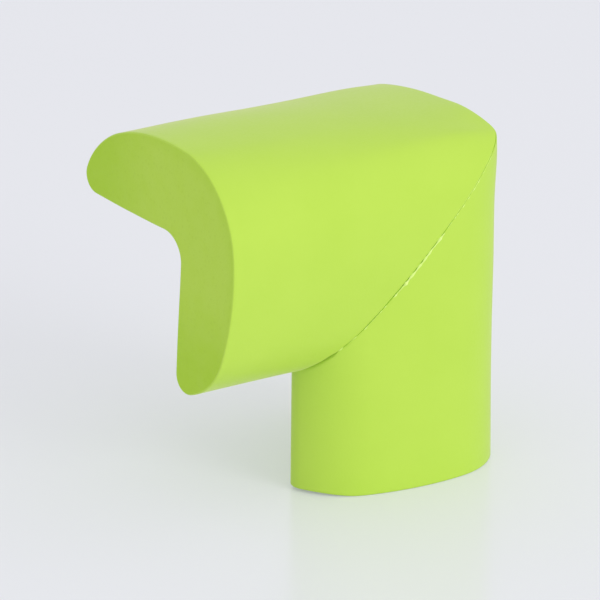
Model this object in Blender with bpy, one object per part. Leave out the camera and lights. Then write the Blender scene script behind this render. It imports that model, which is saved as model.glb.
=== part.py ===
"""Foam furniture corner protector, standing on the cut end of its upright arm.

Two equal lengths of a thick angle strip are cut at 45 degrees and bonded into a corner. The horizontal arm
runs towards -X and the upright arm down to the floor. Both front flanges lie at -Y and share one plane.
The outer faces of the other two flanges run down a little to the ridge where they meet.
"""

import math

import bmesh
import bpy
from mathutils import Matrix, Vector

MM = 0.001

# Overall sizes
ARM_LENGTH = 55.0 * MM  # outer corner to the cut end, the same on both arms
FLANGE_WIDTH = 36.0 * MM  # outer face of one flange to the tip of the other
WALL = 12.6 * MM  # thickest place of a flange

# Arcs of the angle section
CORNER_RADIUS = 13.5 * MM  # outer corner between the flanges
FACE_RADIUS = 40.0 * MM  # crown of each outer face
CROWN_HEIGHT = 16.3 * MM  # from one flange's outermost line to the top of the other's crown
LIP_RADIUS = 11.5 * MM  # outer face rolling over towards the tip
TIP_RADIUS = 2.6 * MM  # small corner between the tip and the inner face
FILLET_RADIUS = 4.2 * MM  # inside corner between the flanges

# Ridge at the mitre, where the outer faces of the other flanges run down a little to meet
RIDGE_DEPTH = 3.25 * MM  # from the outermost planes down to the top of the ridge
RIDGE_MIDDLE = 19.0 * MM  # from the front to the top of the ridge
RIDGE_RADIUS = 145.0 * MM  # crown of the ridge
RIDGE_BLEND = 10  # power of the blend from the section into the ridge, a higher one is tighter

# Bonded joint at the mitre
GLUE_THICKNESS = 0.2 * MM
GLUE_CLEARANCE = 0.05 * MM  # between the film and each cut
GLUE_RECESS = 0.3 * MM  # from the foam's surface to the edge of the film
MITRE_ANGLE = math.radians(45.0)

# Working sizes
ARC_STEPS = 32  # facets on each arc of the section
OVERRUN = 2.0 * MM  # how far a strip reaches past the mitre before it is cut
CUTTER_SIDE = 4.0 * ARM_LENGTH
WELD_DISTANCE = 0.001 * MM
MITRE_BAND = 0.5 * MM  # points closer to the mitre than this lie on a cut

FOAM_COLOUR = (0.53, 0.77, 0.105, 1.0)
FOAM_ROUGHNESS = 0.62
GLUE_COLOUR = (0.72, 0.86, 0.36, 1.0)
GLUE_ROUGHNESS = 0.3

# The outer corner is where the outermost planes of the two arms and of the front flanges meet.
OUTER_CORNER = Vector((ARM_LENGTH / 2, -FLANGE_WIDTH / 2, ARM_LENGTH))

# Strips lie along their own Z. These turn that to +X for the horizontal arm and leave it upright for the other.
ALONG_X = Matrix.Rotation(math.pi / 2, 4, "Y")
ALONG_Z = Matrix.Rotation(math.pi / 2, 4, "Z")

# Square to the mitre, from the horizontal arm towards the upright arm
MITRE_NORMAL = Vector((math.sin(MITRE_ANGLE), 0.0, -math.cos(MITRE_ANGLE)))
HALF_GAP = GLUE_THICKNESS / 2 + GLUE_CLEARANCE


class Arc:
    """A round stretch of the section, from its start angle to its end angle."""

    def __init__(self, centre, radius, start, end):
        self.centre = Vector(centre)
        self.radius = radius
        self.start = start
        self.end = end

    def at(self, angle):
        return self.centre + self.radius * Vector((math.cos(angle), math.sin(angle)))

    def handles(self):
        """Curve handles leaving the start and reaching the end."""
        reach = self.radius * math.tan((self.end - self.start) / 4) * 4 / 3
        leaving = reach * Vector((-math.sin(self.start), math.cos(self.start)))
        reaching = reach * Vector((math.sin(self.end), -math.cos(self.end)))
        return self.at(self.start) + leaving, self.at(self.end) + reaching

    def in_other_flange(self):
        quarter = math.pi / 2
        return Arc(self.centre.yx, self.radius, quarter - self.end, quarter - self.start)


def meeting_point(first, first_distance, second, second_distance):
    """The point at these distances from two centres, on the left on the way from the first to the second."""
    way = second - first
    along = (first_distance**2 - second_distance**2 + way.length_squared) / (2 * way.length)
    across = math.sqrt(first_distance**2 - along**2)
    ahead = way.normalized()
    return first + ahead * along + Vector((-ahead.y, ahead.x)) * across


def corner_centre():
    """Distance of the corner arc's centre from both outermost lines, where it runs smoothly into the faces."""
    total = FACE_RADIUS + CROWN_HEIGHT
    rest = FACE_RADIUS**2 + CROWN_HEIGHT**2 - (FACE_RADIUS - CORNER_RADIUS) ** 2
    return (total - math.sqrt(total**2 - 2 * rest)) / 2


def section_arcs(recess):
    """The section's arcs in order round the outline. The first coordinate is depth from the front flange's
    outermost line, the second from the other flange's. A recess moves the whole outline inwards."""
    corner = Vector((corner_centre(), corner_centre()))
    face = Vector((FACE_RADIUS, CROWN_HEIGHT))
    tip = Vector((WALL - TIP_RADIUS, FLANGE_WIDTH - TIP_RADIUS))
    lip = meeting_point(face, FACE_RADIUS - LIP_RADIUS, tip, LIP_RADIUS - TIP_RADIUS)
    fillet = Vector((WALL + FILLET_RADIUS, WALL + FILLET_RADIUS))

    full_turn = 2 * math.pi
    corner_to_face = direction(corner - face) % full_turn
    face_to_lip = direction(lip - face) % full_turn
    lip_to_tip = direction(tip - lip)
    other_corner_to_face = full_turn + math.pi / 2 - corner_to_face

    front = [
        Arc(face, FACE_RADIUS - recess, corner_to_face, face_to_lip),
        Arc(lip, LIP_RADIUS - recess, face_to_lip, lip_to_tip),
        Arc(tip, TIP_RADIUS - recess, lip_to_tip, 0.0),
    ]
    outer_corner = Arc(corner, CORNER_RADIUS - recess, other_corner_to_face, corner_to_face)
    inner_corner = Arc(fillet, FILLET_RADIUS + recess, math.pi, 1.5 * math.pi)
    other = [arc.in_other_flange() for arc in reversed(front)]
    return [outer_corner] + front + [inner_corner] + other


def direction(vector):
    return math.atan2(vector.y, vector.x)


def outline_knots(arcs):
    """Points of the outline with their handles. A side with no handle is the end of a straight stretch."""
    knots = []
    for arc in arcs:
        leaving, reaching = arc.handles()
        start = arc.at(arc.start)
        if knots and (knots[-1][0] - start).length < WELD_DISTANCE:
            knots[-1][2] = leaving
        else:
            knots.append([start, None, leaving])
        knots.append([arc.at(arc.end), reaching, None])
    knots[0][1] = knots.pop()[1]
    return knots


def set_handles(point, left, right):
    point.handle_left_type = "VECTOR" if left is None else "FREE"
    point.handle_right_type = "VECTOR" if right is None else "FREE"
    if left is not None:
        point.handle_left = left.to_3d()
    if right is not None:
        point.handle_right = right.to_3d()


def strip(name, length, recess, placement, collection):
    """A straight length of the angle strip, centred on its own Z axis, as a mesh."""
    curve = bpy.data.curves.new(name + "_outline", "CURVE")
    curve.dimensions = "2D"
    curve.fill_mode = "BOTH"
    curve.extrude = length / 2
    curve.resolution_u = ARC_STEPS
    spline = curve.splines.new("BEZIER")
    knots = outline_knots(section_arcs(recess))
    spline.bezier_points.add(len(knots) - 1)
    for point, (co, left, right) in zip(spline.bezier_points, knots):
        point.co = co.to_3d()
        set_handles(point, left, right)
    spline.use_cyclic_u = True

    outline = bpy.data.objects.new(name + "_outline", curve)
    collection.objects.link(outline)
    outline.matrix_world = placement
    bpy.context.view_layer.update()
    graph = bpy.context.evaluated_depsgraph_get()
    mesh = bpy.data.meshes.new_from_object(outline.evaluated_get(graph))
    weld(mesh)
    obj = bpy.data.objects.new(name, mesh)
    collection.objects.link(obj)
    obj.matrix_world = outline.matrix_world
    bpy.data.objects.remove(outline, do_unlink=True)
    return obj


def weld(mesh):
    """Joins the caps to the sides and turns every face outwards."""
    work = bmesh.new()
    work.from_mesh(mesh)
    bmesh.ops.remove_doubles(work, verts=work.verts, dist=WELD_DISTANCE)
    bmesh.ops.recalc_face_normals(work, faces=work.faces)
    work.to_mesh(mesh)
    work.free()


def mitre_block(name, low, high, collection):
    """A block square to the mitre, between two distances from it along its normal."""
    work = bmesh.new()
    bmesh.ops.create_cube(work, size=1.0)
    bmesh.ops.scale(work, verts=work.verts, vec=(CUTTER_SIDE, CUTTER_SIDE, high - low))
    mesh = bpy.data.meshes.new(name)
    work.to_mesh(mesh)
    work.free()
    block = bpy.data.objects.new(name, mesh)
    collection.objects.link(block)
    centre = OUTER_CORNER + MITRE_NORMAL * (low + high) / 2
    block.matrix_world = Matrix.Translation(centre) @ MITRE_NORMAL.to_track_quat("Z", "Y").to_matrix().to_4x4()
    block.hide_render = True
    block.display_type = "WIRE"
    return block


def cut(obj, block, operation):
    modifier = obj.modifiers.new("mitre", "BOOLEAN")
    modifier.operation = operation
    modifier.solver = "EXACT"
    modifier.object = block


def ridge_dip(front, other):
    """How far a point of the mitre moves in, from its depths behind the front and under the other flange.
    Points that lie above the ridge come down to it, and deep ones stay where they are."""
    ridge = RIDGE_DEPTH + (front - RIDGE_MIDDLE) ** 2 / (2 * RIDGE_RADIUS)
    return (other**RIDGE_BLEND + ridge**RIDGE_BLEND) ** (1 / RIDGE_BLEND) - other


def press_ridge(obj, recess=0.0):
    """Makes the cuts final and moves their points in along the mitre. Each outer face then runs down to the
    ridge in straight lines from the cut end, and the inner faces stay flat."""
    bpy.context.view_layer.update()
    graph = bpy.context.evaluated_depsgraph_get()
    mesh = bpy.data.meshes.new_from_object(obj.evaluated_get(graph))
    obj.modifiers.clear()
    obj.data = mesh
    into_object = obj.matrix_world.inverted()
    for vertex in mesh.vertices:
        point = obj.matrix_world @ vertex.co
        depth = OUTER_CORNER - point
        if abs(depth.dot(MITRE_NORMAL)) > MITRE_BAND:
            continue
        dip = ridge_dip(-depth.y, min(depth.x, depth.z) - recess)
        vertex.co = into_object @ (point - Vector((dip, 0.0, dip)))


def foam_arm(name, turn, along, low, high, parts, cutters):
    """A strip whose free end is one arm's length from the outer corner and whose other end is mitred."""
    length = ARM_LENGTH + OVERRUN
    centre = OUTER_CORNER + along * (OVERRUN - ARM_LENGTH) / 2
    arm = strip(name, length, 0.0, Matrix.Translation(centre) @ turn, parts)
    cut(arm, mitre_block(name + "_mitre", low, high, cutters), "DIFFERENCE")
    press_ridge(arm)
    return arm


def new_collection(name):
    collection = bpy.data.collections.new(name)
    bpy.context.scene.collection.children.link(collection)
    return collection


def new_material(name, colour, roughness):
    material = bpy.data.materials.new(name)
    material.use_nodes = True
    shader = material.node_tree.nodes["Principled BSDF"]
    shader.inputs["Base Color"].default_value = colour
    shader.inputs["Roughness"].default_value = roughness
    shader.inputs["Metallic"].default_value = 0.0
    return material


for leftover in list(bpy.data.objects):
    bpy.data.objects.remove(leftover, do_unlink=True)

protector = new_collection("furniture_corner_protector")
cutters = new_collection("cutters")

# Foam arms
x_axis = Vector((1.0, 0.0, 0.0))
z_axis = Vector((0.0, 0.0, 1.0))
horizontal_arm = foam_arm(
    "horizontal_arm", ALONG_X, x_axis, -HALF_GAP, CUTTER_SIDE, protector, cutters
)
upright_arm = foam_arm(
    "upright_arm", ALONG_Z, z_axis, -CUTTER_SIDE, HALF_GAP, protector, cutters
)

# Glue film, the same section a little smaller, sliced to a thin sheet lying in the mitre
mitre_glue = strip(
    "mitre_glue",
    2 * ARM_LENGTH,
    GLUE_RECESS,
    Matrix.Translation(OUTER_CORNER) @ ALONG_X,
    protector,
)
film_block = mitre_block("film_slice", -GLUE_THICKNESS / 2, GLUE_THICKNESS / 2, cutters)
cut(mitre_glue, film_block, "INTERSECT")
press_ridge(mitre_glue, GLUE_RECESS)

# Surfaces
horizontal_arm.data.materials.append(new_material("horizontal_foam", FOAM_COLOUR, FOAM_ROUGHNESS))
upright_arm.data.materials.append(new_material("upright_foam", FOAM_COLOUR, FOAM_ROUGHNESS))
mitre_glue.data.materials.append(new_material("clear_glue", GLUE_COLOUR, GLUE_ROUGHNESS))
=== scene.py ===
# %% [markdown]
# # A foam corner protector
#
# This lesson dresses a soft lime green corner cushion, the kind that is stuck over the corner of a table so
# that nobody is hurt by it. Two lengths of thick foam angle strip are cut at 45 degrees and glued into a
# corner. It stands on the cut end of one length, and the other length reaches out to the left.
#
# The solid model gives the true sizes. Here the two lengths are built again with softer edges, the seam gets
# its real glue, and every surface gets a material made of nodes.

import math

import bpy
import numpy as np
from mathutils import Matrix, Vector, noise


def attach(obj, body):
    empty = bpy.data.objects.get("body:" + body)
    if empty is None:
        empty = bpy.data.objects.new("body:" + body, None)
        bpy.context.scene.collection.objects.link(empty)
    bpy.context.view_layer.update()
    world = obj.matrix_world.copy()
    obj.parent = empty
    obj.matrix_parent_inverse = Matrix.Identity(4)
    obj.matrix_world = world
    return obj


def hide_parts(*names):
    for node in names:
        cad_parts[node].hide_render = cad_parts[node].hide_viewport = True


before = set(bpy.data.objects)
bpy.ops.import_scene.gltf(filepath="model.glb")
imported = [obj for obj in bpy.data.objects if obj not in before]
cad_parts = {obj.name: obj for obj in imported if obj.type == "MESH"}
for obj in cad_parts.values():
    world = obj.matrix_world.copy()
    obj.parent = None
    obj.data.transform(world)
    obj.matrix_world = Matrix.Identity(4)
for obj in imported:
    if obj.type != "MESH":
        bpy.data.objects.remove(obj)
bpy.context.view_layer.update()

# %% [markdown]
# ## The strip's own sizes
#
# A foam angle strip is one long extrusion, so a single cross-section describes all of it. Both flanges are
# alike. Each has a gently crowned outer face, a lip that rolls over towards the tip, a small tip corner and a
# flat inner face, and the two inner faces meet in a hollow fillet.
#
# A point of the section has two depths: how far it lies behind the outermost line of the front flange, and how
# far below the outermost line of the other flange. Swapping the two depths mirrors one flange onto the other.

# %% Sizes of the strip
MM = 0.001
ARM_LENGTH = 55.0 * MM
FLANGE_WIDTH = 36.0 * MM
WALL = 12.6 * MM
CORNER_RADIUS = 13.5 * MM
FACE_RADIUS = 40.0 * MM
CROWN_HEIGHT = 16.3 * MM
LIP_RADIUS = 11.5 * MM
TIP_RADIUS = 2.6 * MM
FILLET_RADIUS = 4.2 * MM

print("flange", FLANGE_WIDTH / MM, "mm wide, wall", WALL / MM, "mm thick, arm", ARM_LENGTH / MM, "mm long")

# %% [markdown]
# ## Drawing the section with arcs
#
# Real moulds and dies are drawn with arcs that run smoothly into each other, so that is how this outline is made
# too. Two circles touch from inside when their centres lie the difference of their radii apart, and this gives
# every centre from the radii above. The lip touches two circles, the face and the tip, so its centre is the
# point where two distances meet.
#
# Each arc is turned into many points. Every point carries the direction that faces out of the foam, because the
# softened edges and the recessed glue both need it.

# %% Arcs of the section
ARC_POINTS = 400


def meeting_point(first, first_distance, second, second_distance):
    """The point at these distances from two centres, on the left on the way from the first to the second."""
    way = second - first
    length = np.linalg.norm(way)
    ahead = way / length
    along = (first_distance**2 - second_distance**2 + length**2) / (2 * length)
    across = math.sqrt(first_distance**2 - along**2)
    return first + ahead * along + np.array([-ahead[1], ahead[0]]) * across


def bearing(vector):
    return math.atan2(vector[1], vector[0])


def arc(centre, radius, start, end, hollow=False):
    """Points of an arc as rows of depth, depth, outward, outward."""
    angles = np.linspace(start, end, ARC_POINTS)
    spokes = np.stack([np.cos(angles), np.sin(angles)], axis=1)
    return np.hstack([centre + radius * spokes, -spokes if hollow else spokes])


# The corner circle's centre lies on the diagonal, and its distance to the face circle's centre gives an equation
sum_of_depths = FACE_RADIUS + CROWN_HEIGHT
constant = FACE_RADIUS**2 + CROWN_HEIGHT**2 - (FACE_RADIUS - CORNER_RADIUS) ** 2
corner_place = (sum_of_depths - math.sqrt(sum_of_depths**2 - 2 * constant)) / 2
fillet_place = WALL + FILLET_RADIUS

corner = np.array([corner_place, corner_place])
face = np.array([FACE_RADIUS, CROWN_HEIGHT])
tip = np.array([WALL - TIP_RADIUS, FLANGE_WIDTH - TIP_RADIUS])
lip = meeting_point(face, FACE_RADIUS - LIP_RADIUS, tip, LIP_RADIUS - TIP_RADIUS)
fillet = np.array([fillet_place, fillet_place])

TURN = 2 * math.pi
corner_to_face = bearing(corner - face) % TURN
face_to_lip = bearing(lip - face) % TURN
lip_to_tip = bearing(tip - lip)
print("corner arc centred", round(corner_place / MM, 2), "mm in, lip centred", np.round(lip / MM, 2), "mm")

# %% [markdown]
# ## Two paths round the section
#
# The outline is kept as two paths that both run from the tip of the front flange to the tip of the other one: the
# outer path over the lips, faces and corner, and the inner path along the flats and the fillet. With the same
# number of points on each, a cut end can be filled with neat four-sided faces between them. A fan or one big
# many-sided face would be quicker to make, but neither could carry the slight unevenness of a knife cut.

# %% Outer and inner path
PATH_STEPS = 160


def spread(stretches, steps):
    """Joins stretches of points and spreads the given number of steps evenly along them."""
    line = np.vstack(stretches)
    distance = np.concatenate([[0.0], np.cumsum(np.linalg.norm(np.diff(line[:, :2], axis=0), axis=1))])
    wanted = np.linspace(0.0, distance[-1], steps + 1)
    even = np.stack([np.interp(wanted, distance, column) for column in line.T], axis=1)
    even[:, 2:] /= np.linalg.norm(even[:, 2:], axis=1, keepdims=True)
    return even


def with_mirror(half):
    """The half path on the front flange, followed by its mirror image on the other flange."""
    return np.vstack([half, half[-2::-1][:, [1, 0, 3, 2]]])


tip_middle = lip_to_tip / 2
outer_half = spread(
    [
        arc(tip, TIP_RADIUS, tip_middle, lip_to_tip),
        arc(lip, LIP_RADIUS, lip_to_tip, face_to_lip),
        arc(face, FACE_RADIUS, face_to_lip, corner_to_face),
        arc(corner, CORNER_RADIUS, corner_to_face, 1.25 * math.pi),
    ],
    PATH_STEPS // 2,
)
inner_half = spread(
    [
        arc(tip, TIP_RADIUS, tip_middle, 0.0),
        arc(fillet, FILLET_RADIUS, math.pi, 1.25 * math.pi, hollow=True),
    ],
    PATH_STEPS // 2,
)
outer_path = with_mirror(outer_half)
inner_path = with_mirror(inner_half)
ring = np.vstack([outer_path, inner_path[-2:0:-1]])
print("outline of", len(ring), "points; deepest", np.round(ring[:, :2].max(axis=0) / MM, 2), "mm")

# %% [markdown]
# ## Places on the object
#
# The outer corner is where the outermost planes meet. Each point of a strip is given by how far along the arm it
# lies from that corner, and by its two depths. One small function turns that into a place for the horizontal
# arm, another for the upright arm. The mitre is simply where the distance along the arm equals the depth below
# the other flange, so both arms share the same plane.

# %% From strip to object
OUTER_CORNER = np.array([ARM_LENGTH / 2, -FLANGE_WIDTH / 2, ARM_LENGTH])


def place_horizontal(along, front, other):
    return OUTER_CORNER + np.stack([-along, front, -other], axis=-1)


def place_upright(along, front, other):
    return OUTER_CORNER + np.stack([-other, front, -along], axis=-1)


print("outer corner at", np.round(OUTER_CORNER / MM, 1), "mm")

# %% [markdown]
# ## The pressed-in ridge
#
# On the real cushion the top and the right-hand face run down towards the mitre, and the ridge where they meet
# lies a few millimetres lower than the cut ends do. It looks as if the corner had been pressed while the glue
# set. The ridge has a shallow crown of its own. A point of the mitre takes whichever lies deeper, its own place in
# the section or the ridge. Raising both to a high power, adding them and taking the root again does that with a
# smooth change between the two.

# %% Ridge
RIDGE_DEPTH = 3.25 * MM
RIDGE_MIDDLE = 19.0 * MM
RIDGE_RADIUS = 145.0 * MM
RIDGE_BLEND = 8


def ridge_dip(front, other):
    """How far points of the mitre move in, from their two depths."""
    ridge = RIDGE_DEPTH + (front - RIDGE_MIDDLE) ** 2 / (2 * RIDGE_RADIUS)
    return (other**RIDGE_BLEND + ridge**RIDGE_BLEND) ** (1 / RIDGE_BLEND) - other


print("the ridge lies", np.round(ridge_dip(np.array([CROWN_HEIGHT]), np.array([0.0]))[0] / MM, 2), "mm in")

# %% [markdown]
# ## The small departures of soft foam
#
# Foam that was cut with a blade and pressed together by hand is never quite as straight as the drawing. The
# horizontal length is twisted a little towards its cut end, its end sits a touch off its place, and the blade pushed
# that end's outline in or out in a few spots. Where the two lengths meet, the lip of the horizontal one hangs lower
# than its neighbour, and the front corner of the foot is lifted off the floor a little.
#
# All the faces are very slightly wavy too. The top and the lower edge of the horizontal length are a little fuller
# than the drawing, the ridge dips at both of its ends, and below the outer corner the foam bulges by half a
# millimetre. Moving the points of each piece on its own could open gaps between them, so the waves and all these
# swellings are one smooth warp of the space, used for every piece. The waves fade out at the floor, where the foot
# is flat.

# %% Twist, swellings and waves
TWIST = math.radians(-3.42)
TWIST_CENTRE = np.array([12.0, 12.0]) * MM
END_SHIFT = np.array([-0.67, 0.59]) * MM
# Spots of the cut end's outline: depth behind the front, depth below the top, reach and movement down, in mm
END_SPOTS = [
    (33.0, 3.0, 6.0, 0.58),
    (20.0, 12.6, 8.0, 0.22),
    (28.0, 12.6, 5.0, 0.15),
    (6.0, 36.0, 8.0, -0.32),
]
LIP_SAG = 0.42 * MM
SAG_STARTS = 29.0 * MM
SAG_POWER = 3
FOOT_LIFT = 0.45 * MM
LIFT_STARTS = 30.0 * MM
WAVE = 0.12 * MM
WAVE_SIZE = 16.0 * MM
WAVE_SEED = 3
FOOT_FADE = 4.0 * MM
# Swellings of the whole object: place counted from the outer corner, reach each way, and movement, in mm
SWELLINGS = [
    ((-4.0, 4.5, -7.2), (6.0, 6.0, 6.0), (0.60, 0.0, -0.20)),
    ((-3.0, 6.0, -24.0), (13.0, 13.0, 13.0), (0.16, 0.0, 0.0)),
    ((-36.0, 20.0, 0.0), (34.0, 26.0, 7.0), (0.0, 0.0, 0.52)),
    ((-44.0, 5.0, -36.0), (9.0, 10.0, 6.0), (0.0, 0.0, -0.24)),
    ((-3.5, 32.5, -3.5), (5.0, 4.5, 5.0), (-0.10, 0.0, -0.34)),
    ((-3.4, 11.5, -3.4), (5.5, 5.5, 5.5), (0.08, 0.0, 0.22)),
    ((-3.6, 4.2, -3.6), (4.8, 4.8, 4.8), (0.0, 0.0, -0.70)),
]


def ease(low, high, value):
    """From 0 at low to 1 at high, with a soft start and a soft end."""
    share = np.clip((value - low) / (high - low), 0.0, 1.0)
    return share * share * (3.0 - 2.0 * share)


def twist_end(depth):
    """The depths of the horizontal arm's cut end after its twist, its shift and its spots."""
    turned = Matrix.Rotation(TWIST, 2)
    moved = (depth - TWIST_CENTRE) @ np.array(turned).T + TWIST_CENTRE + END_SHIFT
    for front, other, reach, down in END_SPOTS:
        apart = (depth / MM - (front, other)) / reach
        moved[:, 1] += down * MM * np.exp(-(apart**2).sum(axis=1))
    return moved


def lip_sag(other):
    """How far the horizontal arm's lip hangs down at the mitre."""
    return LIP_SAG * ease(SAG_STARTS, FLANGE_WIDTH, other)


# Without a seed of its own, the vector noise of the waves would be another one in every run
noise.seed_set(WAVE_SEED)


def soften(points):
    """The points after the foam's slight waves and swellings."""
    wave = WAVE * np.array([noise.noise_vector(Vector(p / WAVE_SIZE)) for p in points])
    swelling = np.zeros_like(points)
    for place, reach, movement in SWELLINGS:
        apart = ((points - OUTER_CORNER) / MM - place) / reach
        swelling += np.exp(-(apart**2).sum(axis=1))[:, None] * np.array(movement) * MM
    return points + swelling + wave * ease(0.0, FOOT_FADE, points[:, 2])[:, None]


print("the crown of the cut end moves to", np.round(twist_end(np.array([[CROWN_HEIGHT, 0.0]]))[0] / MM, 2), "mm")

# %% [markdown]
# ## Filling a cut end
#
# A cut end is filled with rows of faces from the outer path to the inner path. Only the points between the two
# paths are new, because the first and last rows are the ring that the skin already ends on.

# %% A filled ring
FILL_ROWS = 22


def fill_ring(points):
    """New points and faces that fill a ring. The ring's points are numbered from 0, and the new points follow."""
    steps = PATH_STEPS
    inner = points[[0] + list(range(2 * steps - 1, steps, -1)) + [steps]]
    shares = np.arange(1, FILL_ROWS) / FILL_ROWS
    between = points[1:steps, None] * (1 - shares[:, None]) + inner[1:steps, None] * shares[:, None]

    def number(step, row):
        if step in (0, steps) or row == 0:
            return step
        if row == FILL_ROWS:
            return 2 * steps - step
        return 2 * steps + (step - 1) * (FILL_ROWS - 1) + row - 1

    faces = []
    for step in range(steps):
        for row in range(FILL_ROWS):
            loop = [number(step, row), number(step + 1, row), number(step + 1, row + 1), number(step, row + 1)]
            faces.append(list(dict.fromkeys(loop)))
    return between.reshape(-1, points.shape[1]), faces


print("a cut end takes", PATH_STEPS * FILL_ROWS, "faces")

# %% [markdown]
# ## Foam arms
#
# An arm is a stack of rings. The outline at the mitre, with its pressed-in ridge, and the outline at the cut end are
# joined by straight lines, and the rings in the middle are spread along these. At each end a few close rings turn
# the edge over by a fraction of a millimetre, because a blade pulls foam skin in a little as it cuts, and a sharp
# edge would catch no light. The edges along the seam are turned over a little more in some places than in
# others, which is what makes the seam read as a thin dark line that comes and goes.
#
# A Bevel modifier could round the edges too, but the close rings keep the exact mitre and its neat faces.

# %% Rings of an arm
SKIN_RINGS = 84
EDGE_RINGS = 5
CUT_EDGE = 0.22 * MM
ALONG_MITRE = math.sqrt(2.0)
# Depth below the top, how far the seam's edges turn over there, how far the glue stays back, and half the gap, in mm
SEAM_PLACES = np.array(
    [
        (0.0, 0.14, 0.35, 0.05),
        (4.2, 0.16, 0.40, 0.07),
        (6.5, 0.08, 0.14, 0.05),
        (10.0, 0.07, 0.12, 0.05),
        (12.0, 0.03, 0.06, 0.05),
        (15.0, 0.05, 0.10, 0.05),
        (17.0, 0.12, 0.20, 0.05),
        (20.5, 0.15, 0.25, 0.06),
        (25.5, 0.15, 0.25, 0.06),
        (27.0, 0.06, 0.12, 0.05),
        (28.2, 0.15, 0.25, 0.06),
        (29.2, 0.14, 0.25, 0.06),
        (29.9, 0.05, 0.10, 0.05),
        (31.0, 0.05, 0.10, 0.05),
        (31.6, 0.16, 0.35, 0.07),
        (32.2, 0.14, 0.30, 0.06),
        (32.6, 0.08, 0.15, 0.05),
        (33.1, 0.28, 1.60, 0.20),
        (35.2, 0.30, 2.00, 0.25),
        (36.0, 0.20, 0.80, 0.12),
    ]
)
# The same three values on all other sides of the mitre. There the seam is nearly even and only drifts in patches
SEAM_PLAIN = (0.10, 0.20, 0.05)
SEAM_DRIFT = 0.8
DRIFT_SIZE = 5.0 * MM
# Over this many points the values change from the plain ones at the tip to those of the front
TIP_FADE = 4

on_front = np.zeros(len(ring))
on_front[: PATH_STEPS // 2] = 1.0
on_front[:TIP_FADE] = np.linspace(0.0, 1.0, TIP_FADE, endpoint=False)
drift = np.array([noise.noise(Vector((front, other, 0.0)) / DRIFT_SIZE) for front, other in ring[:, :2]])
patchy = 1.0 + SEAM_DRIFT * drift


def seam_value(column):
    """A value of the seam all round the ring: from the table on the front, and otherwise the plain one."""
    table = np.interp(ring[:, 1] / MM, SEAM_PLACES[:, 0], SEAM_PLACES[:, column])
    return (on_front * table + (1.0 - on_front) * SEAM_PLAIN[column - 1] * patchy) * MM


def mitre_rings(turns):
    """Rings from the cut face of the mitre out to the skin. A row holds the place along the arm, the two depths
    there, and the same two depths in the plain section."""
    depth, outward = ring[:, :2], ring[:, 2:]
    edge = seam_value(1)
    half_gap = seam_value(3)
    dip = ridge_dip(depth[:, 0], depth[:, 1])
    rings = []
    for turn in turns:
        inset = depth - outward * (edge * (1 - math.cos(turn)))[:, None]
        other = inset[:, 1] + dip
        along = other + ALONG_MITRE * (half_gap + edge * (1 - math.sin(turn)))
        rings.append(np.column_stack([along, inset[:, 0], other, depth]))
    return rings


def end_rings(turns, twisted):
    """The same for the cut end, from its face out to the skin."""
    rings = []
    for turn in turns:
        inset = ring[:, :2] - ring[:, 2:] * CUT_EDGE * (1 - math.cos(turn))
        along = np.full(len(ring), ARM_LENGTH - CUT_EDGE * (1 - math.sin(turn)))
        if twisted:
            inset = twist_end(inset)
        else:
            along = along - FOOT_LIFT * ease(LIFT_STARTS, FLANGE_WIDTH, ring[:, 1])
        rings.append(np.column_stack([along, inset, ring[:, :2]]))
    return rings


def arm_rings(twisted):
    """All the rings, from the mitre to the cut end."""
    turns = np.linspace(math.pi / 2, 0.0, EDGE_RINGS)
    near = mitre_rings(turns)
    far = end_rings(turns, twisted)
    shares = np.linspace(0.0, 1.0, SKIN_RINGS)[1:-1]
    skin = [near[-1] * (1 - share) + far[-1] * share for share in shares]
    if twisted:
        for row, share in zip(near + skin, [0.0] * EDGE_RINGS + list(shares)):
            row[:, [0, 2]] += (lip_sag(row[:, 4]) * (1 - share) ** SAG_POWER)[:, None]
    return near + skin + far[::-1]


print("an arm has", len(arm_rings(False)), "rings of", len(ring), "points")

# %% [markdown]
# The skin and the two cut faces get a material slot each. The two arms are mirror images, so the faces of one of
# them are turned round to look outwards.
#
# The cut faces get a painted shade, a deeper colour towards the thin lips and just under the skin. Each point of the
# mesh therefore also gets a number for how much of this painted shade it carries, for the material of the cut faces.

# %% Painted shade of the cut faces
LIP_STARTS = 17.0 * MM
LIP_ENDS = 34.0 * MM
SKIN_SHARE = 0.35
SKIN_REACH = 2.4 * MM


def cut_shade_share(depth):
    """How much painted shade the cut faces get, from 0 in the core to 1 at the lips, at depths in the plain section.
    """
    apart = depth[:, None, :] - outer_path[None, ::2, :2]
    under_skin = np.sqrt((apart**2).sum(axis=2)).min(axis=1)
    near_skin = SKIN_SHARE * (1.0 - ease(0.0, SKIN_REACH, under_skin))
    return np.maximum(ease(LIP_STARTS, LIP_ENDS, depth.max(axis=1)), near_skin)


print("density under the crown and at the tip", cut_shade_share(np.array([[6.0, 6.0], [10.0, 35.0]]) * MM).round(2))

# %% Building the arms
def show(name, data):
    """A new object with this data, in the scene."""
    obj = bpy.data.objects.new(name, data)
    bpy.context.scene.collection.objects.link(obj)
    return obj


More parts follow.
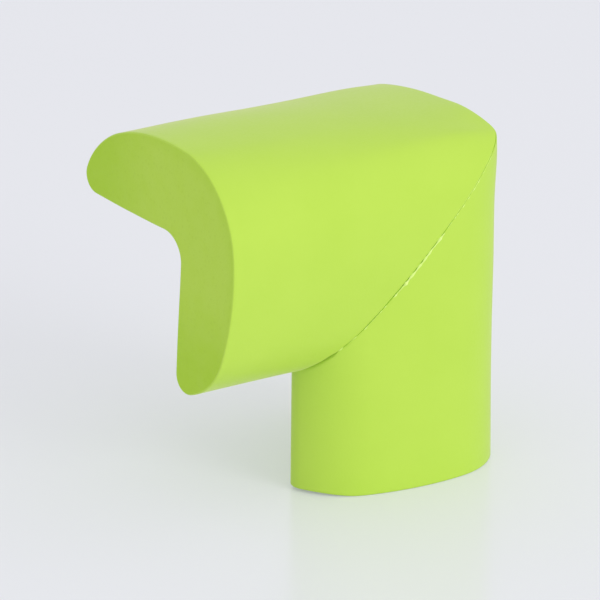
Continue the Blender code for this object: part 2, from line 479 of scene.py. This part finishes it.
def build_arm(name, place, flip, twisted):
    """An arm as a mesh, its skin in material slot 0 and its cut faces in slot 1."""
    rings = arm_rings(twisted)
    count = len(ring)
    points = np.vstack(rings)
    faces, cuts = [], []
    for level in range(len(rings) - 1):
        for step in range(count):
            after = (step + 1) % count
            base = level * count
            faces.append([base + step, base + after, base + count + after, base + count + step])
    for level in (0, len(rings) - 1):
        new_points, new_faces = fill_ring(rings[level])
        offset = len(points) - count
        renumbered = [[level * count + n if n < count else offset + n for n in f] for f in new_faces]
        cuts += [f[::-1] for f in renumbered] if level == 0 else renumbered
        points = np.vstack([points, new_points])
    placed = soften(place(points[:, 0], points[:, 1], points[:, 2]))
    everything = faces + cuts
    if flip:
        everything = [f[::-1] for f in everything]
    mesh = bpy.data.meshes.new(name)
    mesh.from_pydata(placed.tolist(), [], everything)
    mesh.polygons.foreach_set("material_index", [0] * len(faces) + [1] * len(cuts))
    # Each point stores its share of the painted shade for the cut faces
    shade_attribute = mesh.attributes.new("cut_painted_shade", "FLOAT", "POINT")
    shade_attribute.data.foreach_set("value", cut_shade_share(points[:, 3:]))
    mesh.shade_smooth()
    mesh.validate()
    print(name, "has", len(mesh.polygons), "faces")
    return show(name, mesh)


horizontal_foam = build_arm("horizontal_foam", place_horizontal, False, True)
upright_foam = build_arm("upright_foam", place_upright, True, False)

# %% [markdown]
# ## Glue in the seam
#
# The two cuts are bonded with a clear glue. Between the cuts it is a thin film, which lies close under the skin
# where the joint is tight and stays back where it gapes. Along the front of the seam a little glue was pushed out
# and dried as a fine line with a few drops in it, which its colour makes bright partly as a painted highlight. It
# clings to the edge of the upright arm and leaves a dark groove on its other side. A curve with a radius at each
# point is the simplest way to make such a bead, and it is turned into a mesh so that the shared warp can move it
# with the foam.

# %% Glue film
FILM_HALF = 0.04 * MM


def build_film():
    """Two filled rings a film's thickness apart, joined round their edge."""
    inset = ring[:, :2] - ring[:, 2:] * seam_value(2)[:, None]
    other = inset[:, 1] + ridge_dip(ring[:, 0], ring[:, 1])
    sides = []
    for side in (-1.0, 1.0):
        sides.append(np.column_stack([other + side * ALONG_MITRE * FILM_HALF, inset[:, 0], other]))
    count = len(ring)
    fill_low, faces_low = fill_ring(sides[0])
    fill_high, faces_high = fill_ring(sides[1])
    points = np.vstack([sides[0], sides[1], fill_low, fill_high])
    faces = []
    for face_low in faces_low:
        faces.append([n if n < count else n + count for n in face_low][::-1])
    for face_high in faces_high:
        faces.append([n + count if n < count else n + count + len(fill_low) for n in face_high])
    for step in range(count):
        after = (step + 1) % count
        faces.append([step, after, count + after, count + step])
    placed = soften(place_horizontal(points[:, 0], points[:, 1], points[:, 2]))
    mesh = bpy.data.meshes.new("glue_film")
    mesh.from_pydata(placed.tolist(), [], faces)
    mesh.validate()
    print("glue_film has", len(mesh.polygons), "faces")
    return show("glue_film", mesh)


glue_film = build_film()

# %% [markdown]
# The bead lies in the groove on the front face. Its base thickness rises where the real line is bright, and each
# drop adds a short swelling of its own.

# %% Glue bead
BEAD_STEPS = 520
# The bead runs between these two depths below the top, and it is at its fullest between the next two
BEAD_TOP = 6.8 * MM
BEAD_BOTTOM = 32.9 * MM
BEAD_STARTS = 16.6 * MM
BEAD_ENDS = 25.2 * MM
BEAD_RISE = 1.0 * MM
BEAD_FALL = 2.0 * MM
BEAD_FINE = 0.02 * MM
BEAD_FULL = 0.09 * MM
BEAD_SINK = 0.04 * MM
BEAD_OFFSET = 0.13 * MM
BEAD_WANDER = 0.14 * MM
WANDER_SIZE = 0.9 * MM
# The bead's thickness ripples quickly and slowly, between a smallest and a largest share of its plain thickness
QUICK_RIPPLE = 0.45 * MM
SLOW_RIPPLE = 1.5 * MM
SLOW_SHARE = 0.9
THINNEST = 0.25
THICKEST = 2.0
# The noise is zero at whole numbers, so the ripples are read along a row between two of them
NOISE_ROW = 3.7
# Depth below the top of each drop, its extra radius and its half length, all in mm
DROPS = [
    (7.4, 0.04, 0.14),
    (9.2, 0.04, 0.14),
    (10.3, 0.05, 0.12),
    (11.2, 0.06, 0.14),
    (12.3, 0.06, 0.14),
    (13.3, 0.07, 0.16),
    (14.3, 0.08, 0.18),
    (14.8, 0.05, 0.12),
    (15.5, 0.07, 0.20),
    (16.2, 0.06, 0.16),
    (17.5, 0.09, 0.55),
    (18.9, 0.04, 0.25),
    (19.7, 0.08, 0.60),
    (20.9, 0.04, 0.25),
    (22.4, 0.11, 0.28),
    (23.4, 0.13, 0.26),
    (24.2, 0.06, 0.20),
    (24.9, 0.11, 0.30),
    (26.4, 0.26, 0.26),
    (27.1, 0.08, 0.22),
    (29.3, 0.15, 0.20),
    (30.6, 0.05, 0.20),
    (32.4, 0.15, 0.20),
]


def uneven(depth, size):
    """A smooth irregular value round 0 that changes over the given size."""
    return np.array([noise.noise(Vector((d / size, NOISE_ROW, 0.0))) for d in depth])


def bead_radius(depth):
    """The bead's radius, with its drops and its ripples."""
    rise = ease(BEAD_STARTS, BEAD_STARTS + BEAD_RISE, depth)
    fall = ease(BEAD_ENDS - BEAD_FALL, BEAD_ENDS, depth)
    radius = BEAD_FINE + (BEAD_FULL - BEAD_FINE) * (rise - fall)
    for place, extra, half_length in DROPS:
        radius = radius + extra * MM * np.exp(-(((depth / MM - place) / half_length) ** 2))
    ripple = uneven(depth, QUICK_RIPPLE) + SLOW_SHARE * uneven(depth, SLOW_RIPPLE)
    return radius * np.clip(1.0 + ripple, THINNEST, THICKEST)


def build_bead():
    """A round thread along the front of the seam, as a mesh."""
    front = outer_path[: PATH_STEPS // 2 + 1]
    keep = (front[:, 1] > BEAD_TOP) & (front[:, 1] < BEAD_BOTTOM)
    line = spread([front[keep]], BEAD_STEPS)
    centre = line[:, :2] - line[:, 2:] * BEAD_SINK
    other = centre[:, 1] + ridge_dip(line[:, 0], line[:, 1])
    aside = (BEAD_OFFSET + BEAD_WANDER * uneven(centre[:, 1], WANDER_SIZE)) / ALONG_MITRE
    points = place_horizontal(other - aside, centre[:, 0], other + aside)
    radii = bead_radius(centre[:, 1])
    curve = bpy.data.curves.new("glue_bead_line", "CURVE")
    curve.dimensions = "3D"
    curve.bevel_depth = MM
    curve.bevel_resolution = 3
    curve.use_fill_caps = True
    spline = curve.splines.new("POLY")
    spline.points.add(BEAD_STEPS)
    for knot, point, radius in zip(spline.points, points, radii):
        knot.co = (*point, 1.0)
        knot.radius = radius / MM
    holder = show("glue_bead_line", curve)
    graph = bpy.context.evaluated_depsgraph_get()
    mesh = bpy.data.meshes.new_from_object(holder.evaluated_get(graph))
    bpy.data.objects.remove(holder, do_unlink=True)
    co = np.array([v.co[:] for v in mesh.vertices])
    mesh.vertices.foreach_set("co", soften(co).astype(np.float32).ravel())
    mesh.shade_smooth()
    print("glue_bead has", len(mesh.polygons), "faces, widest", round(2 * radii.max() / MM, 2), "mm")
    return show("glue_bead", mesh)


glue_bead = build_bead()

# %% [markdown]
# ## Node helpers
#
# Materials are node trees. These short helpers add a node, start a node group and do a sum, so that each tree below
# reads like a list of what it is made of.

# %% Adding and joining nodes
def add_node(tree, kind, place, **settings):
    """A new node at a place in the tree, with its settings."""
    node = tree.nodes.new(kind)
    node.location = place
    for name, value in settings.items():
        setattr(node, name, value)
    return node


def new_group(name, inputs, outputs):
    """An empty node group with named number inputs and number outputs."""
    group = bpy.data.node_groups.new(name, "ShaderNodeTree")
    for label, value in inputs.items():
        socket = group.interface.new_socket(name=label, in_out="INPUT", socket_type="NodeSocketFloat")
        socket.default_value = value
    for label in outputs:
        group.interface.new_socket(name=label, in_out="OUTPUT", socket_type="NodeSocketFloat")
    start = add_node(group, "NodeGroupInput", (-900, 0))
    end = add_node(group, "NodeGroupOutput", (700, 0))
    return group, start, end


def maths(tree, operation, place, first, second):
    """A Math node. Each side is a number or a socket."""
    node = add_node(tree, "ShaderNodeMath", place, operation=operation)
    for socket, value in zip(node.inputs, (first, second)):
        if isinstance(value, (int, float)):
            socket.default_value = value
        else:
            tree.links.new(value, socket)
    return node.outputs[0]


print("helpers ready")

# %% [markdown]
# ## A group for slow unevenness
#
# No moulded or glued surface has exactly one tone. This group gives a value that drifts gently around a half, in
# patches of a chosen size, and every finish below uses it.

# %% Group: soft patches
patches, start, end = new_group("Soft patches", {"Patch Size": 0.008, "Detail": 3.0}, ["Tone"])
where = add_node(patches, "ShaderNodeTexCoord", (-900, 250))
per_metre = maths(patches, "DIVIDE", (-650, 0), 1.0, start.outputs["Patch Size"])
cloud = add_node(patches, "ShaderNodeTexNoise", (-350, 100))
cloud.inputs["Roughness"].default_value = 0.55
patches.links.new(where.outputs["Object"], cloud.inputs["Vector"])
patches.links.new(per_metre, cloud.inputs["Scale"])
patches.links.new(start.outputs["Detail"], cloud.inputs["Detail"])
patches.links.new(cloud.outputs[0], end.inputs["Tone"])
print("group", patches.name)

# %% [markdown]
# ## A group for foam cells
#
# Closed-cell foam is a mass of tiny bubbles. Where it is cut, the bubbles are open and show as fine pits, and
# through the skin they show as a very faint pebbling. A Voronoi texture fills space with cells of one size, and
# its distance to the nearest centre is deepest in the middle of each bubble, which is just the shape wanted.
# A second, coarser layer stands for the few larger bubbles.

# %% Group: foam cells
COARSE_SCALE = 0.37
LARGE_SHARE = 0.45
# Distances from a bubble's middle at which the pit begins and ends
LARGE_EDGE = (0.12, 0.34)
SMALL_EDGE = (0.12, 0.32)

cells, start, end = new_group("Foam cells", {"Cell Size": 0.0003}, ["Height", "Pits"])
where = add_node(cells, "ShaderNodeTexCoord", (-900, 250))
per_metre = maths(cells, "DIVIDE", (-700, 0), 1.0, start.outputs["Cell Size"])
coarse_scale = maths(cells, "MULTIPLY", (-500, -200), per_metre, COARSE_SCALE)
fine = add_node(cells, "ShaderNodeTexVoronoi", (-300, 200))
coarse = add_node(cells, "ShaderNodeTexVoronoi", (-300, -100))
for texture, scale in ((fine, per_metre), (coarse, coarse_scale)):
    cells.links.new(where.outputs["Object"], texture.inputs["Vector"])
    cells.links.new(scale, texture.inputs["Scale"])
large_pit = add_node(cells, "ShaderNodeMapRange", (-80, -120), interpolation_type="SMOOTHSTEP")
large_pit.inputs["From Min"].default_value = LARGE_EDGE[0]
large_pit.inputs["From Max"].default_value = LARGE_EDGE[1]
cells.links.new(coarse.outputs["Distance"], large_pit.inputs["Value"])
large_share = maths(cells, "MULTIPLY", (140, -120), large_pit.outputs[0], LARGE_SHARE)
height = maths(cells, "ADD", (330, 100), fine.outputs["Distance"], large_share)
small_pit = add_node(cells, "ShaderNodeMapRange", (-80, 250), interpolation_type="SMOOTHSTEP")
small_pit.inputs["From Min"].default_value = SMALL_EDGE[1]
small_pit.inputs["From Max"].default_value = SMALL_EDGE[0]
cells.links.new(fine.outputs["Distance"], small_pit.inputs["Value"])
hole = maths(cells, "SUBTRACT", (140, -300), 1.0, large_pit.outputs[0])
pits = maths(cells, "MAXIMUM", (330, -100), small_pit.outputs[0], hole)
cells.links.new(height, end.inputs["Height"])
cells.links.new(pits, end.inputs["Pits"])
print("group", cells.name)

# %% [markdown]
# ## Material starters
#
# Every finish begins with a Principled shader. The values that are the same all over the surface, such as the
# sheen, stay on the shader's own sockets. Only what changes over the surface comes from nodes.

# %% Starting a material
USUAL_RANGE = (0.3, 0.7)


def start_material(name):
    """A new material with its tree and its Principled shader."""
    material = bpy.data.materials.new(name)
    material.use_nodes = True
    tree = material.node_tree
    return material, tree, tree.nodes["Principled BSDF"]


def use_group(tree, group, place, **values):
    """A group node. An underscore in a value's name stands for a blank."""
    node = add_node(tree, "ShaderNodeGroup", place)
    node.node_tree = group
    for name, value in values.items():
        node.inputs[name.replace("_", " ")].default_value = value
    return node


def blend_colours(tree, place, share, low, high):
    """A colour that goes from low to high. Low or high may be a socket."""
    node = add_node(tree, "ShaderNodeMix", place, data_type="RGBA")
    tree.links.new(share, node.inputs["Factor"])
    for socket, value in ((node.inputs["A"], low), (node.inputs["B"], high)):
        if isinstance(value, tuple):
            socket.default_value = (*value, 1.0)
        else:
            tree.links.new(value, socket)
    return node.outputs["Result"]


def spread_value(tree, place, value, low, high):
    """Takes a value from its usual middle range to between low and high."""
    node = add_node(tree, "ShaderNodeMapRange", place)
    tree.links.new(value, node.inputs["Value"])
    for label, number in zip(("From Min", "From Max", "To Min", "To Max"), (*USUAL_RANGE, low, high)):
        node.inputs[label].default_value = number
    return node.outputs[0]


def add_bump(tree, place, height, strength, distance):
    """A Bump node for the tree's Principled shader."""
    bump = add_node(tree, "ShaderNodeBump", place)
    bump.inputs["Strength"].default_value = strength
    bump.inputs["Distance"].default_value = distance
    tree.links.new(height, bump.inputs["Height"])
    tree.links.new(bump.outputs["Normal"], tree.nodes["Principled BSDF"].inputs["Normal"])


print("material starters ready")

# %% [markdown]
# ## Foam skin
#
# The skin of the strip is smooth and matt, a strong yellowish green. Seen along its surface it looks paler, like
# peach skin, which the shader's sheen gives. Its pebbling is so fine that it hardly shows at arm's length, so the
# bump is kept to a few thousandths of a millimetre.

# %% Material: foam skin
SKIN_DEEP = (0.502, 0.745, 0.070)
SKIN_LIGHT = (0.522, 0.763, 0.078)
SKIN_ROUGHNESS = (0.46, 0.56)
SKIN_PEBBLES = 0.03 * MM
PEBBLE_SHARE = 0.6

foam_skin, tree, shader = start_material("Lime foam skin")
broad = use_group(tree, patches, (-900, 200), Patch_Size=0.012, Detail=3.0)
grain = use_group(tree, patches, (-900, -50), Patch_Size=0.0004, Detail=2.0)
pebbles = use_group(tree, cells, (-900, -300), Cell_Size=0.00032)
tone = spread_value(tree, (-650, 200), broad.outputs["Tone"], 0.0, 1.0)
colour = blend_colours(tree, (-400, 200), tone, SKIN_DEEP, SKIN_LIGHT)
tree.links.new(colour, shader.inputs["Base Color"])
roughness = spread_value(tree, (-400, -50), grain.outputs["Tone"], *SKIN_ROUGHNESS)
tree.links.new(roughness, shader.inputs["Roughness"])
relief = maths(tree, "MULTIPLY_ADD", (-400, -300), pebbles.outputs["Height"], PEBBLE_SHARE)
tree.links.new(grain.outputs["Tone"], relief.node.inputs[2])
add_bump(tree, (-200, -300), relief, strength=0.25, distance=SKIN_PEBBLES)
shader.inputs["Sheen Weight"].default_value = 0.40
shader.inputs["Sheen Roughness"].default_value = 0.27
shader.inputs["Sheen Tint"].default_value = (1.0, 0.90, 0.70, 1.0)
print("material", foam_skin.name)

# %% [markdown]
# ## Cut foam
#
# On the cut ends the bubbles are open. They are so small that the surface looks softly mottled rather than dotted,
# rougher and a touch deeper in colour than the skin. Where the number stored in the mesh is high, towards the lips
# and under the skin, the colour is deeper still as painted shade.

# %% Material: cut foam
CUT_CORE = (0.525, 0.765, 0.072)
# The deeper colour of the painted shade towards the lips and under the skin comes next
CUT_SHADED = (0.452, 0.712, 0.034)
# The next colour is painted shade in the pits of the open bubbles
CUT_PIT_SHADE = (0.400, 0.620, 0.040)
CUT_ROUGHNESS = (0.68, 0.80)
CUT_CELLS = 0.05 * MM
SHADE_DRIFT = 0.10
PIT_SHADE_SHARE = 0.16

foam_cut, tree, shader = start_material("Cut foam")
broad = use_group(tree, patches, (-1000, 200), Patch_Size=0.003, Detail=4.0)
bubbles = use_group(tree, cells, (-1000, -150), Cell_Size=0.00034)
# The stored number mixes in the painted shade towards the lips and under the skin
shade_attribute = add_node(tree, "ShaderNodeAttribute", (-1000, 450), attribute_name="cut_painted_shade")
change = spread_value(tree, (-750, 200), broad.outputs["Tone"], -SHADE_DRIFT, SHADE_DRIFT)
shade_share = maths(tree, "ADD", (-550, 300), shade_attribute.outputs["Fac"], change)
foam_colour = blend_colours(tree, (-350, 300), shade_share, CUT_CORE, CUT_SHADED)
# Painted shade darkens the colour in the open bubbles' pits
pit_shade_share = maths(tree, "MULTIPLY", (-550, 0), bubbles.outputs["Pits"], PIT_SHADE_SHARE)
colour = blend_colours(tree, (-120, 200), pit_shade_share, foam_colour, CUT_PIT_SHADE)
tree.links.new(colour, shader.inputs["Base Color"])
roughness = spread_value(tree, (-120, -50), broad.outputs["Tone"], *CUT_ROUGHNESS)
tree.links.new(roughness, shader.inputs["Roughness"])
add_bump(tree, (-120, -300), bubbles.outputs["Height"], strength=0.3, distance=CUT_CELLS)
shader.inputs["Sheen Weight"].default_value = 0.05
shader.inputs["Sheen Roughness"].default_value = 0.5
print("material", foam_cut.name)

# %% [markdown]
# ## Dried glue
#
# The glue dried clear over green foam, so it looks like a lighter, shinier green, and its colour is lifted further
# as a painted highlight. It isn't perfectly even, and so its tone and its shine drift along the bead.

# %% Material: dried glue
# Both glue colours are partly the glue's own pale green and partly a painted highlight
GLUE_CLEAR_AND_HIGHLIGHT = (0.66, 0.92, 0.18)
GLUE_CLOUDY_AND_HIGHLIGHT = (0.80, 0.98, 0.30)
GLUE_ROUGHNESS = (0.30, 0.50)
GLUE_RIPPLE = 0.05 * MM

dried_glue, tree, shader = start_material("Dried glue")
broad = use_group(tree, patches, (-800, 150), Patch_Size=0.0015, Detail=4.0)
cloudy = spread_value(tree, (-550, 150), broad.outputs["Tone"], 0.0, 1.0)
colour = blend_colours(tree, (-300, 150), cloudy, GLUE_CLEAR_AND_HIGHLIGHT, GLUE_CLOUDY_AND_HIGHLIGHT)
tree.links.new(colour, shader.inputs["Base Color"])
shine = spread_value(tree, (-300, -100), broad.outputs["Tone"], *GLUE_ROUGHNESS)
tree.links.new(shine, shader.inputs["Roughness"])
add_bump(tree, (-300, -350), broad.outputs["Tone"], strength=0.3, distance=GLUE_RIPPLE)
print("material", dried_glue.name)

# %% [markdown]
# ## Handing the pieces to the frame
#
# Each new piece stands for a solid of the model and moves with it.

# %% Pieces, materials and what they stand for
for arm, node in ((horizontal_foam, "horizontal_arm"), (upright_foam, "upright_arm")):
    arm.data.materials.append(foam_skin)
    arm.data.materials.append(foam_cut)
    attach(arm, "root")
    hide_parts(node)
for glue in (glue_film, glue_bead):
    glue.data.materials.append(dried_glue)
    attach(glue, "root")
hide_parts("mitre_glue")
print("pieces:", [o.name for o in (horizontal_foam, upright_foam, glue_film, glue_bead)])

# %% [markdown]
# ## What is seen directly
#
# The floor and the room are shown in a plain pale colour where they are seen, and they light the object in their
# own way. The Light Path node tells the two apart: it knows the camera's own rays, and those that come by way of a
# reflection or through a clear material.

# %% Seen directly
def seen_directly(tree, left, up):
    """1 for what the camera, a reflection or a clear material sees, and 0 for light that falls on a surface."""
    path = add_node(tree, "ShaderNodeLightPath", (left, up))
    seen = maths(tree, "MAXIMUM", (left + 200, up), path.outputs["Is Camera Ray"], path.outputs["Is Glossy Ray"])
    return maths(tree, "MAXIMUM", (left + 400, up), seen, path.outputs["Is Transmission Ray"])


print("ready to tell seen surfaces from lit ones")

# %% [markdown]
# ## Floor
#
# The cushion was photographed on a glossy white sheet that fills the whole picture. A wide disc stands for it. A
# fairly smooth finish gives the faint green reflection under the foot. The sheet of the photograph is washed with
# light, so its shadow is weak. For the camera and for reflections, a third of the floor is therefore its plain pale
# colour.

# %% The floor
FLOOR_RADIUS = 3.0
FLOOR_CORNERS = 64
# The foot stands a hair above the floor, so that the two surfaces don't coincide
FLOOR_DROP = 0.02 * MM
FLOOR_COLOUR = (0.93, 0.935, 0.985, 1.0)
FLOOR_ROUGHNESS = (0.16, 0.22)
FLOOR_SEEN = (0.787, 0.800, 0.838, 1.0)
FLOOR_WASH = 0.35

angles = np.linspace(0.0, TURN, FLOOR_CORNERS, endpoint=False)
rim = [(FLOOR_RADIUS * math.cos(a), FLOOR_RADIUS * math.sin(a), -FLOOR_DROP) for a in angles]
floor_mesh = bpy.data.meshes.new("floor")
floor_mesh.from_pydata(rim, [], [list(range(len(rim)))])
floor = show("floor", floor_mesh)

floor_sheet, tree, shader = start_material("White sheet")
broad = use_group(tree, patches, (-800, 150), Patch_Size=0.05, Detail=2.0)
polish = spread_value(tree, (-400, -50), broad.outputs["Tone"], *FLOOR_ROUGHNESS)
tree.links.new(polish, shader.inputs["Roughness"])
shader.inputs["Base Color"].default_value = FLOOR_COLOUR
wash = add_node(tree, "ShaderNodeEmission", (0, -350))
wash.inputs["Color"].default_value = FLOOR_SEEN
share = maths(tree, "MULTIPLY", (0, 450), seen_directly(tree, -650, 450), FLOOR_WASH)
mix = add_node(tree, "ShaderNodeMixShader", (350, 100))
tree.links.new(share, mix.inputs[0])
tree.links.new(shader.outputs[0], mix.inputs[1])
tree.links.new(wash.outputs[0], mix.inputs[2])
tree.links.new(mix.outputs[0], tree.nodes["Material Output"].inputs["Surface"])
floor_mesh.materials.append(floor_sheet)
print("floor", FLOOR_RADIUS * 2, "m across")

# %% [markdown]
# ## Light
#
# A white room lights the object evenly from all sides. One large soft lamp in front and a little above adds the
# gentle direction of the photograph: the front faces are brightest, and the top and the end on the left are a tone
# darker. The glossy floor would show the lamp as a white glare in a view from behind, so reflections leave it out.
# What the camera and the reflections see of the room is the same pale grey as the floor.

# %% Room and lamp
ROOM_LIGHT = 0.79
ROOM_COLOUR = (0.98, 0.98, 1.0, 1.0)
ROOM_SEEN = (0.79, 0.80, 0.84, 1.0)
LAMP_PLACE = Vector((0.18, -1.22, 0.43))
LAMP_TARGET = Vector((0.0, 0.0, 0.03))
LAMP_SIZE = 0.8
LAMP_WATTS = 5.9

world = bpy.data.worlds.new("white room")
bpy.context.scene.world = world
world.use_nodes = True
tree = world.node_tree
tree.nodes.clear()
light = add_node(tree, "ShaderNodeBackground", (-200, 0))
light.inputs["Color"].default_value = ROOM_COLOUR
light.inputs["Strength"].default_value = ROOM_LIGHT
view = add_node(tree, "ShaderNodeBackground", (-200, -150))
view.inputs["Color"].default_value = ROOM_SEEN
choice = add_node(tree, "ShaderNodeMixShader", (0, 0))
output = add_node(tree, "ShaderNodeOutputWorld", (200, 0))
tree.links.new(seen_directly(tree, -600, 200), choice.inputs[0])
tree.links.new(light.outputs[0], choice.inputs[1])
tree.links.new(view.outputs[0], choice.inputs[2])
tree.links.new(choice.outputs[0], output.inputs["Surface"])

lamp_data = bpy.data.lights.new("front lamp", "AREA")
lamp_data.shape = "DISK"
lamp_data.size = LAMP_SIZE
lamp_data.energy = LAMP_WATTS
lamp = show("front lamp", lamp_data)
lamp.location = LAMP_PLACE
lamp.rotation_euler = (LAMP_TARGET - LAMP_PLACE).to_track_quat("-Z", "Y").to_euler()
lamp.visible_glossy = False
print("room light", ROOM_LIGHT, "and one lamp")

# %% [markdown]
# ## Camera
#
# The photograph was taken from the left, a little above, with a long lens. The camera is placed by the point it
# looks at, its direction round and above the object, its distance and a tiny tilt.

# %% The camera
AIM = Vector((-0.00498, -0.00451, 0.02754))
AZIMUTH = math.radians(-37.66)
ELEVATION = math.radians(18.45)
TILT = math.radians(0.42)
DISTANCE = 0.8694
LENS = 360.7
CLIP_START = 0.01

right = Vector((math.cos(AZIMUTH), math.sin(AZIMUTH), 0.0))
level = Vector((math.sin(AZIMUTH), -math.cos(AZIMUTH), 0.0))
back = level * math.cos(ELEVATION) + Vector((0.0, 0.0, math.sin(ELEVATION)))
facing = Matrix((right, back.cross(right), back)).transposed() @ Matrix.Rotation(TILT, 3, "Z")
camera_data = bpy.data.cameras.new("camera")
camera_data.lens = LENS
camera_data.clip_start = CLIP_START
camera = show("camera", camera_data)
camera.matrix_world = Matrix.Translation(AIM + back * DISTANCE) @ facing.to_4x4()
bpy.context.scene.camera = camera
bpy.context.scene.view_settings.view_transform = "Standard"
print("camera at", [round(v, 3) for v in camera.matrix_world.translation], "m, lens", LENS, "mm")
